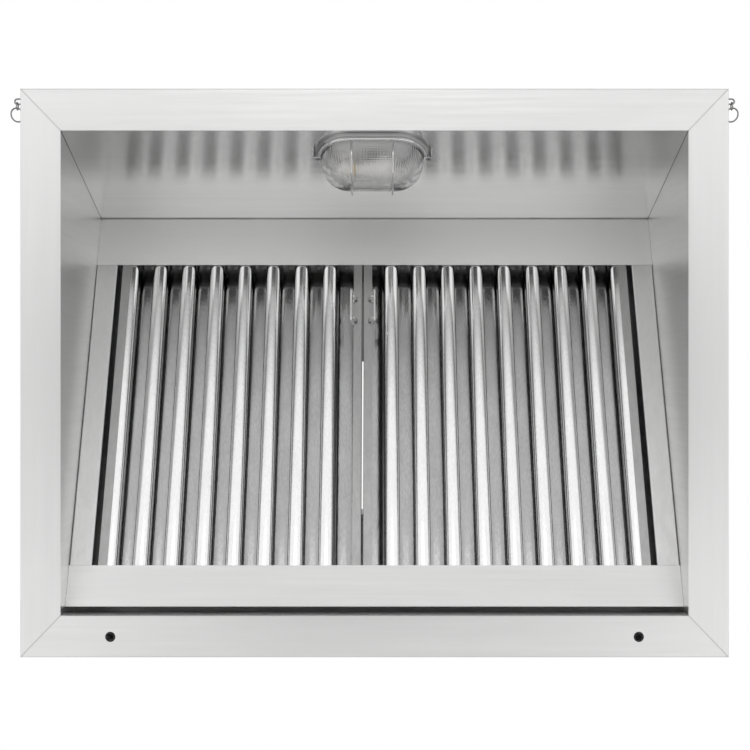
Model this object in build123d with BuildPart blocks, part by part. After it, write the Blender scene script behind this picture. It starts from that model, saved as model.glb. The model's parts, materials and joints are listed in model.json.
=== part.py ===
# Commercial canopy hood as it hangs: X is the width, -Y the front, +Y the wall side, +Z up.
# The origin is the centre of the rim's underside. All sizes are in millimetres.
import os
from math import cos, floor, radians, sin, tan

from build123d import *

os.makedirs("parts", exist_ok=True)

# Body
hood_width = 914.4
hood_depth = 734.0
body_height = 430.0
sheet = 1.2
seam = 0.2
filter_slope = 20.6

# Rim and grease gutter
rim_side = 52.0
rim_front = 54.0
rim_rear = 54.0
skirt_height = 76.0
upstand_height = 20.0
mitre_gap = 0.15
gutter_lip = 25.0
gutter_back = 60.0
corner_tab_width = 26.0
corner_tab_low = 20.0
corner_tab_high = 56.0

# Drain bushes in the gutter floor
drain_from_side = 116.2
drain_from_wall = 26.5
drain_bore = 4.3
drain_outside = 6.5
drain_flange = 10.0
bush_clearance = 0.1

# Wall fixing holes in the rear panel
wall_hole_spread = 300.0
wall_hole_low = 140.0
wall_hole_high = 390.0
wall_hole_radius = 4.5

# Duct collar on the top panel
collar_width = 305.0
collar_depth = 254.0
collar_height = 76.0
collar_flange = 25.0
collar_screw_pitch = 120.0

# Filter rack: the sill is the lower filter channel's front edge
sill_from_wall = 111.6
sill_height = 42.6
slide_gap = 0.3
lower_lap = 35.0
drip_edge = 54.7
upper_face = 76.3
upper_lap = 19.3
upper_leg = 30.0
filter_headroom = 2.0
wall_rise = 10.0
closing_upturn = 20.0
weep_holes = 9
weep_radius = 3.0
ledge_width = 30.6
ledge_return = 30.0
ledge_wall_leg = 20.0

# Baffle filters
side_gap = 7.2
joint_gap = 2.6
joint_shift = 16.8
filter_depth = 40.0
thin_sheet = 0.8
rail_flange = 12.0
rail_mitre_gap = 0.1
baffle_pitch = 41.25
first_baffle = 13.4
baffle_half = 10.25
front_shoulder = 7.0
front_leg_end = 20.0
rear_baffle_half = 15.0
rear_shift = 2.5
rear_shoulder = 6.0
rear_leg_start = 13.0
rivet_radius = 1.5
rivet_head = 2.75
rivet_head_height = 0.9
rivet_clearance = 0.1
filter_drain_radius = 3.0
filter_drains = 3

# Bail handles
handle_drop = 71.8
handle_half_span = 23.85
handle_reach = 19.4
handle_wire = 1.5
handle_lean = 10.0
handle_bend = 4.0
foot_length = 12.0
pivot_height = 2.6
pivot_clearance = 0.25
lug_gap = 0.5
lug_length = 5.0
lug_height = 5.2
lug_inner = 3.0
lug_outer = 5.5
lug_round = 2.0

# Bulkhead lamp on the front panel
lamp_x = -3.0
lamp_rise = 52.0
lamp_base_x = 75.0
lamp_base_y = 48.0
lamp_plate = 2.0
lamp_base_depth = 4.0
lamp_wall = 3.0
gasket_depth = 1.0
globe_flange_depth = 2.0
flange_clearance = 0.6
globe_wall = 2.5
globe_profile = ((7.0, 2.6), (20.0, 3.1), (32.0, 6.0), (41.0, 12.0), (47.0, 20.5), (50.0, 31.0))
guard_inset = 2.4
guard_band = 1.6
guard_lip = 4.2
guard_depth = 2.0
bow_wire = 1.25
bow_bend = 14.0
bow_clearance = 0.75
bow_knee = 28.0
bow_draw = 1.0
bow_top_draw = 16.3
clip_width = 8.0
clip_thickness = 3.4
clip_hook = 1.6
clip_screw_height = 2.5
clip_screw_head = 2.2
clip_screw_radius = 1.1
clip_screw_grip = 4.0
bulb_axis_height = 26.0
holder_start = -46.0
holder_end = -26.0
holder_radius = 13.0
holder_foot_width = 16.0
socket_depth = 14.0
bulb_cap_radius = 7.0
bulb_cap_shows = 4.0
bulb_neck = 6.5
bulb_radius = 17.0
bulb_end = 34.0
bulb_wall = 1.0

# Wiring box in the hollow of the front rim
box_width = 90.0
box_height = 36.0
box_depth = 26.0
box_drop = 4.5
box_wall = 2.0
box_boss = 4.0
box_entry_radius = 6.0
cover_thickness = 1.5
cover_screw_radius = 1.7
cover_screw_head = 3.0
cover_screw_length = 10.0
nipple_radius = 8.0
nipple_bore = 6.0
nipple_clearance = 0.2
locknut_flats = 22.0
locknut_depth = 3.0
thread_shows = 1.5
gland_x = 60.0
gland_from_front = 27.0
gland_radius = 8.0
gland_nut_depth = 6.0
gland_cap_height = 10.0
gland_cap_top = 6.0
gland_bore = 3.5

# Hangers at the front corners
hanger_from_front = 8.0
hanger_height = 38.0
hanger_reach = 15.3
staple_wire = 1.1
staple_bend = 3.4
hanger_plate_width = 12.0
hanger_plate_height = 28.0
hanger_plate_thickness = 1.5
hanger_rivet_spread = 9.0
link_wire = 0.9
link_bend = 3.6
link_straight = 2.6
ring_wire = 1.0
ring_radius = 9.0
ring_tilt = 45.0
loop_clearance = 0.3

# Small screws at the rear corners and on the collar
screw_radius = 2.0
screw_head = 3.5
screw_head_height = 2.2
screw_length = 8.0
screw_clearance = 0.1
nut_flats = 7.0
nut_depth = 3.0

# Places worked out from the sizes above
half_width = hood_width / 2
half_depth = hood_depth / 2
body_half = half_width - rim_side
body_outside = body_half + sheet
inner_front = half_depth - rim_front
inner_rear = half_depth - rim_rear
roof_underside = body_height - sheet
slope_cos = cos(radians(filter_slope))
slope_sin = sin(radians(filter_slope))
slope_tan = tan(radians(filter_slope))
sill_y = half_depth - sill_from_wall
front_run = (inner_front + sill_y) * slope_cos - (sill_height - sheet) * slope_sin
rack_opening = front_run - upper_face
half_span = body_half - ledge_width - side_gap
left_filter_width = half_span - joint_shift - joint_gap / 2
right_filter_width = half_span + joint_shift - joint_gap / 2
upper_room = filter_depth + filter_headroom
channel_wall = filter_depth + wall_rise
handle_centre = rack_opening - handle_drop
up_slope = Vector(0, -slope_cos, slope_sin)
off_slope = Vector(0, slope_sin, slope_cos)
across = Vector(1, 0, 0)
sill = Vector(0, sill_y, sill_height)

# Planes: one across the rack for rails and baffles, one for profiles that run along X, one flat on it
rack_section = Plane(sill, x_dir=across, z_dir=up_slope)
channel_section = Plane(sill, x_dir=up_slope, z_dir=-across)
rack_face = Plane(sill, x_dir=across, z_dir=-off_slope)


def front_inside(height):
    return -inner_front + (height - sheet) * slope_tan


def front_outside(height):
    return front_inside(height) - sheet / slope_cos


def slope_point(along, off):
    return sill_y - along * slope_cos + off * slope_sin, sill_height + along * slope_sin + off * slope_cos


# The lamp's standoff is measured from the front panel's inner face, along off_panel
lamp_z = sheet + lamp_rise * slope_cos
lamp_foot = Vector(lamp_x, front_inside(lamp_z), lamp_z)
off_panel = -up_slope
guard_x = lamp_base_x - guard_inset
guard_y = lamp_base_y - guard_inset
globe_flange_x = guard_x - guard_band - flange_clearance
globe_flange_y = guard_y - guard_band - flange_clearance


def lamp_plane(standoff):
    return Plane(lamp_foot + off_panel * standoff, x_dir=across, z_dir=off_panel)


def hexagon(flats):
    return RegularPolygon(flats / 2, 6, major_radius=False)


def racetrack(long_half, short_half, mode=Mode.ADD):
    return SlotOverall(2 * long_half, 2 * short_half, mode=mode)


# Front rim: bottom plate, skirt, sloped upstand and top return
return_low = skirt_height - sheet
return_front = front_outside(return_low) - seam
with BuildPart() as rim_front_member:
    with BuildSketch():
        Polygon(
            (-half_width + mitre_gap, -half_depth),
            (half_width - mitre_gap, -half_depth),
            (body_half - mitre_gap, -inner_front),
            (-body_half + mitre_gap, -inner_front),
        )
    extrude(amount=sheet)
    with BuildSketch(Plane.XY.offset(sheet)):
        with Locations((0, -half_depth + sheet / 2)):
            Rectangle(hood_width, sheet)
    extrude(amount=skirt_height - sheet)
    with BuildSketch(Plane.XY.offset(return_low)):
        Polygon(
            (-half_width + mitre_gap, -half_depth),
            (half_width - mitre_gap, -half_depth),
            (body_outside + seam - mitre_gap, return_front),
            (-body_outside - seam + mitre_gap, return_front),
        )
        with Locations((gland_x, -half_depth + gland_from_front)):
            Circle(gland_radius + nipple_clearance, mode=Mode.SUBTRACT)
    extrude(amount=sheet)
    with BuildSketch(Plane.YZ):
        Polygon(
            (front_outside(sheet) - seam - sheet / slope_cos, sheet),
            (front_outside(sheet) - seam, sheet),
            (front_outside(upstand_height) - seam, upstand_height),
            (front_outside(upstand_height) - seam - sheet / slope_cos, upstand_height),
        )
    extrude(amount=body_half - seam, both=True)
rim_front_member.part.label = "rim_front"
export_step(rim_front_member.part, "parts/rim_front.step")


# Side rims, with the hanger's rivet holes and the rear corner screw hole
def side_rim(side):
    rivet_heights = (hanger_height - hanger_rivet_spread, hanger_height + hanger_rivet_spread)
    with BuildPart() as member:
        with BuildSketch():
            Polygon(
                (side * half_width, -half_depth),
                (side * half_width, half_depth),
                (side * body_half, inner_rear),
                (side * body_half, -inner_front),
            )
        extrude(amount=sheet)
        with BuildSketch(Plane.XY.offset(sheet)):
            with Locations((side * (half_width - sheet / 2), 0)):
                Rectangle(sheet, hood_depth - 2 * sheet - 2 * seam)
        extrude(amount=return_low - sheet)
        with BuildSketch(Plane.XY.offset(return_low)):
            Polygon(
                (side * half_width, -half_depth),
                (side * half_width, half_depth),
                (side * (body_outside + seam), half_depth),
                (side * (body_outside + seam), return_front),
            )
            Rectangle(hood_width, hood_depth - 2 * sheet - 2 * seam, mode=Mode.INTERSECT)
        extrude(amount=sheet)
        with BuildSketch(Plane.XY.offset(sheet)):
            with Locations((side * (body_outside + seam + sheet / 2), (inner_rear - inner_front) / 2)):
                Rectangle(sheet, inner_front + inner_rear - 2 * sheet)
        extrude(amount=upstand_height - sheet)
        with BuildSketch(Plane.YZ.offset(side * half_width)):
            with Locations(*[(-half_depth + hanger_from_front, height) for height in rivet_heights]):
                Circle(rivet_radius + rivet_clearance)
            with Locations((half_depth - corner_tab_width / 2, hanger_height)):
                Circle(screw_radius + screw_clearance)
        extrude(amount=-side * 2 * sheet, mode=Mode.SUBTRACT)
    return member


for side, hand in ((-1, "left"), (1, "right")):
    rim = side_rim(side)
    rim.part.label = f"rim_{hand}"
    export_step(rim.part, f"parts/rim_{hand}.step")

# Rear rim: the grease gutter, with end skirts and corner tabs behind the side rims
drain_x = half_width - drain_from_side
drain_y = half_depth - drain_from_wall
end_skirt = half_width - body_outside - seam
with BuildPart() as gutter:
    with BuildSketch():
        Polygon(
            (-half_width + mitre_gap, half_depth),
            (half_width - mitre_gap, half_depth),
            (body_half - mitre_gap, inner_rear),
            (-body_half + mitre_gap, inner_rear),
        )
        with Locations((-drain_x, drain_y), (drain_x, drain_y)):
            Circle(drain_outside + bush_clearance, mode=Mode.SUBTRACT)
    extrude(amount=sheet)
    with BuildSketch(Plane.YZ):
        with Locations((inner_rear + sheet / 2, gutter_lip / 2)):
            Rectangle(sheet, gutter_lip)
        with Locations((half_depth - sheet - seam - sheet / 2, (sheet + gutter_back) / 2)):
            Rectangle(sheet, gutter_back - sheet)
    extrude(amount=body_half - seam - mitre_gap, both=True)
    with BuildSketch(Plane.XY.offset(sheet)):
        with Locations(*[(x * (half_width - end_skirt / 2), half_depth - sheet / 2) for x in (-1, 1)]):
            Rectangle(end_skirt, sheet)
    extrude(amount=skirt_height - sheet)
    with BuildSketch(Plane.XY.offset(corner_tab_low)):
        with Locations(*[(x * (half_width - sheet - seam - sheet / 2), half_depth - corner_tab_width / 2)
                         for x in (-1, 1)]):
            Rectangle(sheet, corner_tab_width)
    extrude(amount=corner_tab_high - corner_tab_low)
    with BuildSketch(Plane.YZ):
        with Locations((half_depth - corner_tab_width / 2, hanger_height)):
            Circle(screw_radius + screw_clearance)
    extrude(amount=half_width, both=True, mode=Mode.SUBTRACT)
gutter.part.label = "rim_rear_gutter"
export_step(gutter.part, "parts/rim_rear_gutter.step")

# Drain bushes
with BuildPart() as drain_bushes:
    with BuildSketch():
        with Locations((-drain_x, drain_y), (drain_x, drain_y)):
            Circle(drain_outside)
            Circle(drain_bore, mode=Mode.SUBTRACT)
    extrude(amount=sheet)
    with BuildSketch(Plane.XY.offset(sheet)):
        with Locations((-drain_x, drain_y), (drain_x, drain_y)):
            Circle(drain_flange)
            Circle(drain_bore, mode=Mode.SUBTRACT)
    extrude(amount=sheet)
drain_bushes.part.label = "drain_bushes"
export_step(drain_bushes.part, "parts/drain_bushes.step")

# Front panel, square to the filters, with the lamp's cable hole
with BuildPart() as front_panel:
    with BuildSketch(Plane.YZ):
        Polygon(
            (front_outside(sheet), sheet),
            (front_inside(sheet), sheet),
            (front_inside(roof_underside), roof_underside),
            (front_outside(roof_underside), roof_underside),
        )
    extrude(amount=body_half - seam, both=True)
    with BuildSketch(lamp_plane(-2 * sheet)):
        Circle(nipple_radius + nipple_clearance)
    extrude(amount=4 * sheet, mode=Mode.SUBTRACT)
front_panel.part.label = "front_panel"
export_step(front_panel.part, "parts/front_panel.step")

# Side panels
for side, hand in ((-1, "left"), (1, "right")):
    with BuildPart() as side_panel:
        with BuildSketch(Plane.YZ.offset(side * body_half)):
            Polygon(
                (front_outside(sheet), sheet),
                (half_depth - sheet - seam, sheet),
                (half_depth - sheet - seam, roof_underside),
                (front_outside(roof_underside), roof_underside),
            )
        extrude(amount=side * sheet)
    side_panel.part.label = f"{hand}_side_panel"
    export_step(side_panel.part, f"parts/{hand}_side_panel.step")

# Rear panel, with its wall fixing holes
wall_holes = [(x * wall_hole_spread, z) for x in (-1, 1) for z in (wall_hole_low, wall_hole_high)]
with BuildPart() as rear_panel:
    with BuildSketch(Plane.XZ.offset(-half_depth)):
        with Locations((0, (sheet + roof_underside) / 2)):
            Rectangle(2 * body_outside, roof_underside - sheet)
        with Locations(*wall_holes):
            Circle(wall_hole_radius, mode=Mode.SUBTRACT)
    extrude(amount=sheet)
rear_panel.part.label = "rear_panel"
export_step(rear_panel.part, "parts/rear_panel.step")

# Top panel and duct collar
roof_front = front_outside(roof_underside)
collar_y = (roof_front + half_depth) / 2
screw_row_x = collar_width / 2 + collar_flange / 2
screw_row_y = collar_depth / 2 + collar_flange / 2
collar_screws = [(x * screw_row_x, collar_y + y * collar_screw_pitch / 2) for x in (-1, 1) for y in (-1, 1)]
collar_screws += [(x * collar_screw_pitch, collar_y + y * screw_row_y) for x in (-1, 0, 1) for y in (-1, 1)]
with BuildPart() as top_panel:
    with BuildSketch(Plane.XY.offset(roof_underside)):
        with Locations((0, collar_y)):
            Rectangle(2 * body_outside, half_depth - roof_front)
            Rectangle(collar_width, collar_depth, mode=Mode.SUBTRACT)
        with Locations(*collar_screws):
            Circle(screw_radius + screw_clearance, mode=Mode.SUBTRACT)
    extrude(amount=sheet)
top_panel.part.label = "top_panel"
export_step(top_panel.part, "parts/top_panel.step")

with BuildPart() as duct_collar:
    with BuildSketch(Plane.XY.offset(body_height)):
        with Locations((0, collar_y)):
            Rectangle(collar_width + 2 * collar_flange, collar_depth + 2 * collar_flange)
            Rectangle(collar_width, collar_depth, mode=Mode.SUBTRACT)
        with Locations(*collar_screws):
            Circle(screw_radius + screw_clearance, mode=Mode.SUBTRACT)
    extrude(amount=sheet)
    with BuildSketch(Plane.XY.offset(body_height)):
        with Locations((0, collar_y)):
            Rectangle(collar_width + 2 * sheet, collar_depth + 2 * sheet)
            Rectangle(collar_width, collar_depth, mode=Mode.SUBTRACT)
    extrude(amount=collar_height)
duct_collar.part.label = "duct_collar"
export_step(duct_collar.part, "parts/duct_collar.step")

with BuildPart() as collar_screw_group:
    with BuildSketch(Plane.XY.offset(body_height + sheet)):
        with Locations(*collar_screws):
            Circle(screw_head)
    extrude(amount=screw_head_height)
    with BuildSketch(Plane.XY.offset(body_height + sheet)):
        with Locations(*collar_screws):
            Circle(screw_radius)
    extrude(amount=-screw_length)
collar_screw_group.part.label = "collar_screws"
export_step(collar_screw_group.part, "parts/collar_screws.step")

# Lower filter channel: visible face with a hemmed drip edge, weep wall, closing flange to the rear panel
face_low = -slide_gap - sheet
weep_wall = -lower_lap - slide_gap
closing_y, closing_z = slope_point(weep_wall - sheet / 2, channel_wall)
closing_rear = half_depth - sheet - seam
with BuildPart() as lower_channel:
    with BuildSketch(channel_section):
        with Locations((-drip_edge / 2, face_low + sheet / 2)):
            Rectangle(drip_edge, sheet)
        with Locations(((-drip_edge + weep_wall) / 2, -slide_gap + sheet / 2)):
            Rectangle(drip_edge + weep_wall, sheet)
        with Locations((weep_wall - sheet / 2, (face_low + channel_wall) / 2)):
            Rectangle(sheet, channel_wall - face_low)
    extrude(amount=body_half - seam, both=True)
    with BuildSketch(Plane.YZ):
        Polygon(
            (closing_y, closing_z - sheet / 2),
            (closing_rear, closing_z - sheet / 2),
            (closing_rear, closing_z + closing_upturn),
            (closing_rear - sheet, closing_z + closing_upturn),
            (closing_rear - sheet, closing_z + sheet / 2),
            (closing_y, closing_z + sheet / 2),
        )
    extrude(amount=body_half - seam, both=True)
    with BuildSketch(rack_section.offset(weep_wall + sheet)):
        with GridLocations(2 * body_half / weep_holes, 1, weep_holes, 1):
            with Locations((0, sheet + weep_radius)):
                Circle(weep_radius)
    extrude(amount=-3 * sheet, mode=Mode.SUBTRACT)
lower_channel.part.label = "lower_filter_channel"
export_step(lower_channel.part, "parts/lower_filter_channel.step")

# Upper filter channel: a U that opens down the slope, flat against the front panel
upper_end = front_run - seam
with BuildPart() as upper_channel:
    with BuildSketch(channel_section):
        Polygon(
            (rack_opening, face_low),
            (upper_end, face_low),
            (upper_end, upper_room + sheet),
            (upper_end - upper_leg, upper_room + sheet),
            (upper_end - upper_leg, upper_room),
            (upper_end - sheet, upper_room),
            (upper_end - sheet, -slide_gap),
            (rack_opening, -slide_gap),
        )
    extrude(amount=body_half - seam, both=True)
upper_channel.part.label = "upper_filter_channel"
export_step(upper_channel.part, "parts/upper_filter_channel.step")

# Filter ledges beside the filters, butted between the two channels
ledge_outer = body_half - seam
ledge_inner = body_half - ledge_width
for side, hand in ((-1, "left"), (1, "right")):
    with BuildPart() as ledge:
        with BuildSketch(rack_section.offset(seam)):
            Polygon(
                (side * ledge_outer, face_low),
                (side * ledge_inner, face_low),
                (side * ledge_inner, ledge_return),
                (side * (ledge_inner + sheet), ledge_return),
                (side * (ledge_inner + sheet), face_low + sheet),
                (side * (ledge_outer - sheet), face_low + sheet),
                (side * (ledge_outer - sheet), ledge_wall_leg),
                (side * ledge_outer, ledge_wall_leg),
            )
        extrude(amount=rack_opening - 2 * seam)
    ledge.part.label = f"{hand}_filter_ledge"
    export_step(ledge.part, f"parts/{hand}_filter_ledge.step")

# Baffle filters. A place across a filter is its distance from the filter's outer edge.
filter_low = -lower_lap
filter_high = rack_opening + upper_lap
filter_length = filter_high - filter_low
baffle_start = filter_low + thin_sheet + seam
baffle_length = filter_length - 2 * (thin_sheet + seam)
crest = thin_sheet + seam
rear_floor = filter_depth - thin_sheet - seam
inner_edge_room = rail_flange + baffle_half


def rail_outline(start, inward, flange=rail_flange):
    return (
        (start, 0),
        (start + inward * flange, 0),
        (start + inward * flange, thin_sheet),
        (start + inward * thin_sheet, thin_sheet),
        (start + inward * thin_sheet, filter_depth - thin_sheet),
        (start + inward * flange, filter_depth - thin_sheet),
        (start + inward * flange, filter_depth),
        (start, filter_depth),
    )


# One half-round baffle's outline, open at its legs; top is the crest's side of the legs
def baffle_outline(half, crest_height, shoulder_height, leg_height):
    with BuildLine() as outline:
        Line((-half, leg_height), (-half, shoulder_height))
        ThreePointArc((-half, shoulder_height), (0, crest_height), (half, shoulder_height))
        Line((half, shoulder_height), (half, leg_height))
        Line((half, leg_height), (-half, leg_height))
    return outline.line


def baffle_face(half, crest_height, shoulder_height, leg_height):
    inward = thin_sheet if leg_height > crest_height else -thin_sheet
    with BuildSketch() as face:
        make_face(baffle_outline(half, crest_height, shoulder_height, leg_height))
        inner = baffle_outline(half - thin_sheet, crest_height + inward, shoulder_height, leg_height + inward)
        make_face(inner, mode=Mode.SUBTRACT)
    return face.sketch


front_baffle_face = baffle_face(baffle_half, crest, front_shoulder, front_leg_end)
rear_baffle_face = baffle_face(rear_baffle_half, rear_floor, rear_floor - rear_shoulder, rear_leg_start)


def side_filter(side, hand, width):
    def across_at(distance):
        return side * (half_span - distance)

    outer = across_at(0)
    inner = across_at(width)
    centre = (outer + inner) / 2
    room = width - first_baffle - inner_edge_room
    count = 1 + floor(room / baffle_pitch)
    front_places = [first_baffle + baffle_pitch * i for i in range(count)]
    rear_limit = width - thin_sheet - seam - rear_baffle_half
    rear_places = [min(place + baffle_pitch / 2 + rear_shift, rear_limit) for place in front_places]
    rivet_ends = (filter_low + rail_flange / 2, filter_high - rail_flange / 2)
    rivets = [(across_at(place), end) for place in rear_places for end in rivet_ends]

    # Side rails: a channel section cut to mitres
    rail_edges = ((outer, -side, "outer"), (inner, side, "inner"))
    for edge, inward, place_name in rail_edges:
        with BuildPart() as rail:
            with BuildSketch(rack_section.offset(filter_low)):
                Polygon(*rail_outline(edge, inward))
            extrude(amount=filter_length)
            with BuildSketch(rack_face.offset(-filter_depth - 1)):
                Polygon(
                    (edge, filter_low + rail_mitre_gap),
                    (edge, filter_high - rail_mitre_gap),
                    (edge + inward * rail_flange, filter_high - rail_flange - rail_mitre_gap),
                    (edge + inward * rail_flange, filter_low + rail_flange + rail_mitre_gap),
                )
            extrude(amount=filter_depth + 2, mode=Mode.INTERSECT)
        rail.part.label = f"{hand}_filter_{place_name}_rail"
        export_step(rail.part, f"parts/{hand}_filter_{place_name}_rail.step")

    # End rails, with rivet holes for the rear baffles; the bottom one has drain holes
    drain_places = [outer - side * width * (i + 1) / (filter_drains + 1) for i in range(filter_drains)]
    for edge, inward, place_name in ((filter_low, 1, "bottom"), (filter_high, -1, "top")):
        with BuildPart() as rail:
            with BuildSketch(channel_section.offset(-centre)):
                Polygon(*rail_outline(edge, inward))
            extrude(amount=width / 2, both=True)
            with BuildSketch(rack_face.offset(-filter_depth - 1)):
                Polygon(
                    (outer, edge),
                    (inner, edge),
                    (inner + side * rail_flange, edge + inward * rail_flange),
                    (outer - side * rail_flange, edge + inward * rail_flange),
                )
            extrude(amount=filter_depth + 2, mode=Mode.INTERSECT)
            with BuildSketch(rack_face.offset(-filter_depth - 1)):
                with Locations(*[place for place in rivets if abs(place[1] - edge) < rail_flange]):
                    Circle(rivet_radius + rivet_clearance)
            extrude(amount=filter_depth / 2, mode=Mode.SUBTRACT)
            if place_name == "bottom":
                with BuildSketch(rack_section.offset(edge - thin_sheet)):
                    with Locations(*[(x, crest + filter_drain_radius) for x in drain_places]):
                        Circle(filter_drain_radius)
                extrude(amount=3 * thin_sheet, mode=Mode.SUBTRACT)
        rail.part.label = f"{hand}_filter_{place_name}_rail"
        export_step(rail.part, f"parts/{hand}_filter_{place_name}_rail.step")

    # Front baffles
    with BuildPart() as front_baffles:
        with BuildSketch(rack_section.offset(baffle_start)):
            with Locations(*[(across_at(place), 0) for place in front_places]):
                add(front_baffle_face)
        extrude(amount=baffle_length)
    front_baffles.part.label = f"{hand}_filter_front_baffles"
    export_step(front_baffles.part, f"parts/{hand}_filter_front_baffles.step")

    # Rear baffles, riveted to the end rails
    with BuildPart() as rear_baffles:
        with BuildSketch(rack_section.offset(baffle_start)):
            with Locations(*[(across_at(place), 0) for place in rear_places]):
                add(rear_baffle_face)
        extrude(amount=baffle_length)
        with BuildSketch(rack_face.offset(-filter_depth)):
            with Locations(*rivets):
                Circle(rivet_radius + rivet_clearance)
        extrude(amount=filter_depth / 2, mode=Mode.SUBTRACT)
    rear_baffles.part.label = f"{hand}_filter_rear_baffles"
    export_step(rear_baffles.part, f"parts/{hand}_filter_rear_baffles.step")

    # Rivets through the end rails' rear flanges and the rear baffles
    rivet_tail = rear_floor - thin_sheet - seam
    with BuildPart() as rivet_group:
        for low, high, radius in (
            (rivet_tail - rivet_head_height, rivet_tail, rivet_head),
            (rivet_tail, filter_depth, rivet_radius),
            (filter_depth, filter_depth + rivet_head_height, rivet_head),
        ):
            with BuildSketch(rack_face.offset(-low)):
                with Locations(*rivets):
                    Circle(radius)
            extrude(amount=low - high)
    rivet_group.part.label = f"{hand}_filter_rivets"
    export_step(rivet_group.part, f"parts/{hand}_filter_rivets.step")

    # Handle lugs on the inner rail, and the bail that turns in them
    pivot_x = across_at(width - rail_flange)
    lug_start = handle_half_span - handle_bend - lug_gap - lug_length
    with BuildPart() as lugs:
        for foot in (-1, 1):
            middle = handle_centre + foot * (lug_start + lug_length / 2)
            with BuildSketch(rack_section.offset(middle - lug_length / 2)):
                Polygon(
                    (pivot_x + side * lug_inner, 0),
                    (pivot_x + side * lug_inner, -lug_height + lug_round),
                    (pivot_x + side * (lug_inner - lug_round), -lug_height),
                    (pivot_x - side * (lug_outer - lug_round), -lug_height),
                    (pivot_x - side * lug_outer, -lug_height + lug_round),
                    (pivot_x - side * lug_outer, 0),
                )
                with Locations((pivot_x, -pivot_height)):
                    Circle(handle_wire + pivot_clearance, mode=Mode.SUBTRACT)
            extrude(amount=lug_length)
    lugs.part.label = f"{hand}_handle_lugs"
    export_step(lugs.part, f"parts/{hand}_handle_lugs.step")

    lean = radians(handle_lean)
    stand = off_slope * -cos(lean) + across * side * sin(lean)
    pivot = sill + across * pivot_x - off_slope * pivot_height + up_slope * handle_centre
    bail_plane = Plane(pivot, x_dir=up_slope, z_dir=up_slope.cross(stand))
    with BuildPart() as bail:
        with BuildLine(bail_plane):
            path = FilletPolyline(
                (-handle_half_span + foot_length, 0),
                (-handle_half_span, 0),
                (-handle_half_span, handle_reach),
                (handle_half_span, handle_reach),
                (handle_half_span, 0),
                (handle_half_span - foot_length, 0),
                radius=handle_bend,
            )
        with BuildSketch(Plane(path @ 0, z_dir=path % 0)):
            Circle(handle_wire)
        sweep()
    bail.part.label = f"{hand}_filter_handle"
    export_step(bail.part, f"parts/{hand}_filter_handle.step")


side_filter(-1, "left", left_filter_width)
side_filter(1, "right", right_filter_width)

# Where a clip screw ends inside the lamp base
def clip_screw_plane(end):
    screw_end = lamp_foot + off_panel * clip_screw_height + across * end * (lamp_base_x - clip_screw_grip)
    return Plane(screw_end, z_dir=across * end)


# Lamp base: a shallow pan with straight sides and round ends, against the front panel
with BuildPart() as lamp_base:
    with BuildSketch(lamp_plane(seam)):
        racetrack(lamp_base_x, lamp_base_y)
        Circle(nipple_radius + nipple_clearance, mode=Mode.SUBTRACT)
    extrude(amount=lamp_plate - seam)
    with BuildSketch(lamp_plane(lamp_plate)):
        racetrack(lamp_base_x, lamp_base_y)
        racetrack(globe_flange_x - lamp_wall, globe_flange_y - lamp_wall, mode=Mode.SUBTRACT)
    extrude(amount=lamp_base_depth - lamp_plate)
    for end in (-1, 1):
        with BuildSketch(clip_screw_plane(end)):
            Circle(clip_screw_radius + screw_clearance)
        extrude(amount=2 * clip_screw_grip, mode=Mode.SUBTRACT)
lamp_base.part.label = "lamp_base"
export_step(lamp_base.part, "parts/lamp_base.step")

with BuildPart() as lamp_gasket:
    with BuildSketch(lamp_plane(lamp_base_depth)):
        racetrack(globe_flange_x, globe_flange_y)
        racetrack(globe_flange_x - lamp_wall, globe_flange_y - lamp_wall, mode=Mode.SUBTRACT)
    extrude(amount=gasket_depth)
lamp_gasket.part.label = "lamp_gasket"
export_step(lamp_gasket.part, "parts/lamp_gasket.step")

# Glass globe: a flange and a hollow dome, whose profile is drawn in from the flange
globe_foot = lamp_base_depth + gasket_depth
globe_rings = [(height, globe_flange_x - inset, globe_flange_y - inset) for height, inset in globe_profile]
globe_start = globe_rings[0]
globe_top = globe_rings[-1][0]
with BuildPart() as lamp_globe:
    with BuildSketch(lamp_plane(globe_foot)):
        racetrack(globe_flange_x, globe_flange_y)
    extrude(amount=globe_flange_depth)
    for height, long_half, short_half in globe_rings:
        with BuildSketch(lamp_plane(height)):
            racetrack(long_half, short_half)
    loft(ruled=True)
    with BuildSketch(lamp_plane(globe_foot)):
        racetrack(globe_start[1] - globe_wall, globe_start[2] - globe_wall)
    for height, long_half, short_half in globe_rings:
        with BuildSketch(lamp_plane(height - globe_wall * (height > globe_start[0]))):
            racetrack(long_half - globe_wall, short_half - globe_wall)
    loft(ruled=True, mode=Mode.SUBTRACT)
lamp_globe.part.label = "lamp_globe"
export_step(lamp_globe.part, "parts/lamp_globe.step")

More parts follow.
